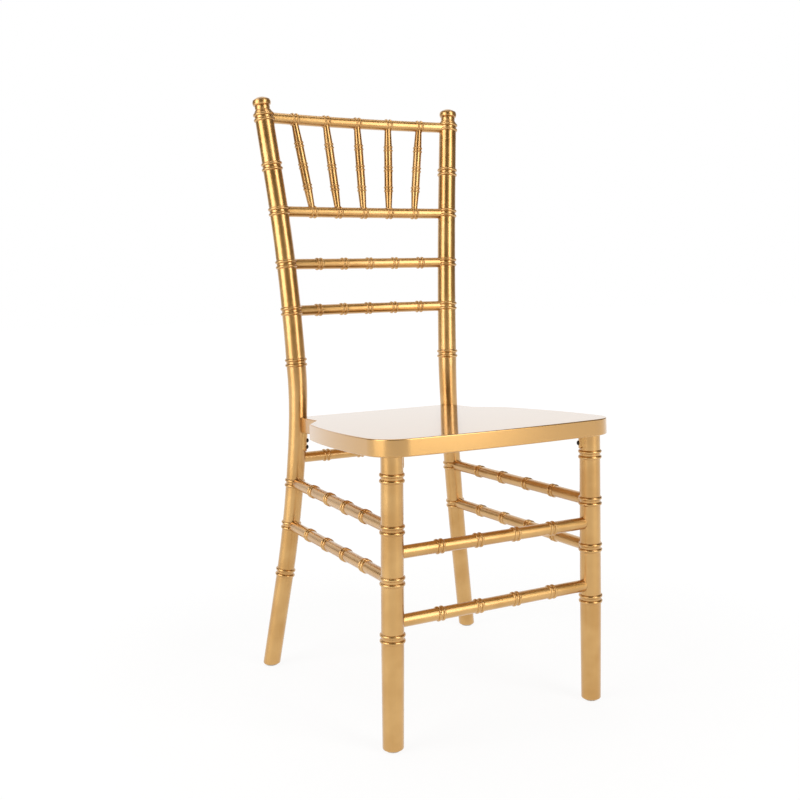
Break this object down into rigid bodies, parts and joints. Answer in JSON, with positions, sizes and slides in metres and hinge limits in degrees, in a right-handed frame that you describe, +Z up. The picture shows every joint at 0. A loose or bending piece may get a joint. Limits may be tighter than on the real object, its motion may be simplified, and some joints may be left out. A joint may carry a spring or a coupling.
{
  "type": "chiavari chair",
  "caption": "Turned wooden banquet chair with bamboo-style beads, bowed back rails, a spindle fan and a board seat, painted gold.",
  "frame": {"origin": "centre of the bounding box at floor level", "axes": "+Z up, the front of the chair faces -Y, +X to the right of a viewer who looks along +Y at the front"},
  "size_m": [0.4058, 0.463, 0.9185],
  "materials": {
    "frame_gold": "gloss metallic gold paint on turned hardwood",
    "seat_gold": "gloss metallic gold paint on board",
    "bracket_gold": "gold paint on formed steel",
    "screw_black": "black",
    "glide_plastic": "pale nylon"
  },
  "bodies": {
    "root": {"back_post_left": "frame_gold", "back_post_right": "frame_gold", "front_leg_left": "frame_gold", "front_leg_right": "frame_gold", "crest_rail": "frame_gold", "spindle_rail": "frame_gold", "back_rail_upper": "frame_gold", "back_rail_lower": "frame_gold", "spindle_1": "frame_gold", "spindle_2": "frame_gold", "spindle_3": "frame_gold", "spindle_4": "frame_gold", "spindle_5": "frame_gold", "front_stretcher_upper": "frame_gold", "front_stretcher_lower": "frame_gold", "side_stretcher_left_upper": "frame_gold", "side_stretcher_left_lower": "frame_gold", "side_stretcher_right_upper": "frame_gold", "side_stretcher_right_lower": "frame_gold", "rear_stretcher": "frame_gold", "seat_board": "seat_gold", "seat_bracket_left_front": "bracket_gold", "seat_bracket_left_rear": "bracket_gold", "seat_bracket_right_front": "bracket_gold", "seat_bracket_right_rear": "bracket_gold", "bracket_screws": "screw_black", "glide_left_front": "glide_plastic", "glide_left_rear": "glide_plastic", "glide_right_front": "glide_plastic", "glide_right_rear": "glide_plastic"}
  },
  "joints": []
}
